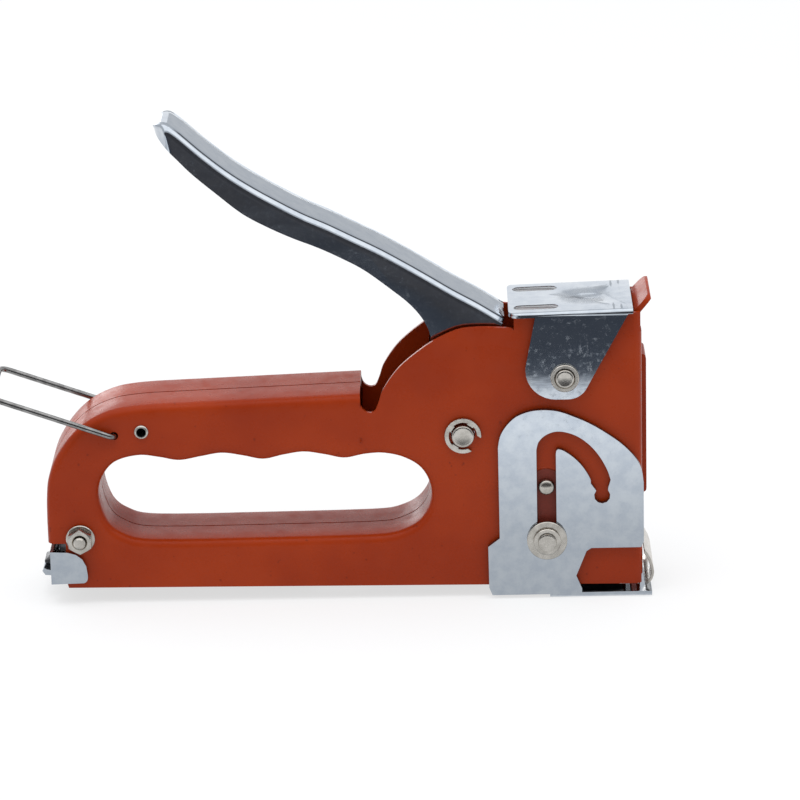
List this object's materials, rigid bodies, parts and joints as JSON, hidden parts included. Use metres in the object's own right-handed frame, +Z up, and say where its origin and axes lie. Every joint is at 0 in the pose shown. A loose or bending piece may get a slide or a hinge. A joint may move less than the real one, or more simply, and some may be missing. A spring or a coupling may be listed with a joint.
{
  "type": "hand staple gun",
  "caption": "Hand staple gun: pressed steel body with a squeeze lever on top, a sprung driver, a pull-out staple magazine, a wire locking bail and a sliding nose guide.",
  "frame": {"origin": "centre of the bounding box in plan, on the underside of the nose guide's web", "axes": "+X towards the nose, +Y to the tool's left side, +Z up along the driver's travel"},
  "size_m": [0.1644, 0.0312, 0.1227],
  "materials": {
    "orange_paint": "glossy orange-red enamel on pressed steel",
    "zinc_plate": "bright zinc plating with a soft blue-grey sheen",
    "nickel_plate": "bright nickel plating",
    "dark_steel": "oiled dark steel",
    "spring_steel": "drawn spring steel",
    "black_rubber": "matt black rubber"
  },
  "bodies": {
    "frame": {"right_shell": "orange_paint", "left_shell": "orange_paint", "front_plate": "orange_paint", "nose_leaf": "nickel_plate", "spring_bracket": "zinc_plate", "bracket_pin": "nickel_plate", "bracket_clip_right": "nickel_plate", "bracket_clip_left": "nickel_plate", "lever_pin": "nickel_plate", "lever_clip_right": "nickel_plate", "lever_clip_left": "nickel_plate", "guide_pin": "nickel_plate", "guide_washer_right": "nickel_plate", "guide_washer_left": "nickel_plate", "guide_clip_right": "nickel_plate", "guide_clip_left": "nickel_plate", "guide_stud_right": "nickel_plate", "guide_stud_left": "nickel_plate", "rear_bolt": "nickel_plate", "rear_nut": "nickel_plate", "rear_washer_right": "nickel_plate", "rear_washer_left": "nickel_plate", "rear_spacer": "dark_steel", "handle_rivet": "nickel_plate", "magazine_channel": "dark_steel", "bumper": "black_rubber"},
    "lever": {"lever_channel": "zinc_plate", "lever_arm": "dark_steel", "lever_roller": "spring_steel", "roller_pin": "spring_steel", "lever_spring": "spring_steel", "lever_bush": "dark_steel"},
    "hammer": {"hammer_block": "dark_steel", "driver_blade": "spring_steel", "main_spring": "spring_steel"},
    "magazine": {"magazine_rail": "dark_steel", "tail_cap": "zinc_plate", "tail_latch": "dark_steel", "guide_rod": "spring_steel", "staple_strip": "nickel_plate"},
    "follower": {"pusher": "spring_steel", "pusher_spring": "spring_steel"},
    "bail": {"lock_bail": "spring_steel"},
    "guide": {"nose_guide": "zinc_plate"}
  },
  "joints": [
    {"name": "lever_squeeze", "type": "hinge", "parent": "frame", "child": "lever", "pos_m": [0.0349, 0, 0.043], "axis": [0, -1, 0], "range_deg": [0, 36], "stiffness_Nm_per_rad": 0.03, "springref_deg": -51.57},
    {"name": "hammer_lift", "type": "slide", "parent": "frame", "child": "hammer", "axis": [0, 0, 1], "range_m": [0, 0.0199], "stiffness_N_per_m": 2000, "springref_m": -0.01, "deforming": ["main_spring"]},
    {"name": "magazine_slide", "type": "slide", "parent": "frame", "child": "magazine", "axis": [-1, 0, 0], "range_m": [0, 0.11]},
    {"name": "follower_slide", "type": "slide", "parent": "magazine", "child": "follower", "axis": [-1, 0, 0], "range_m": [0, 0.045], "stiffness_N_per_m": 30, "springref_m": -0.03, "deforming": ["pusher_spring"]},
    {"name": "bail_swing", "type": "hinge", "parent": "frame", "child": "bail", "pos_m": [-0.0515, 0, 0.0444], "axis": [0, 1, 0], "range_deg": [-65, 100]},
    {"name": "guide_slide", "type": "slide", "parent": "frame", "child": "guide", "axis": [0, 0, -1], "range_m": [0, 0.011]}
  ],
  "couplings": [
    {"joint": "lever_squeeze", "follows": "hammer_lift", "rad_per_m": 31.57}
  ]
}
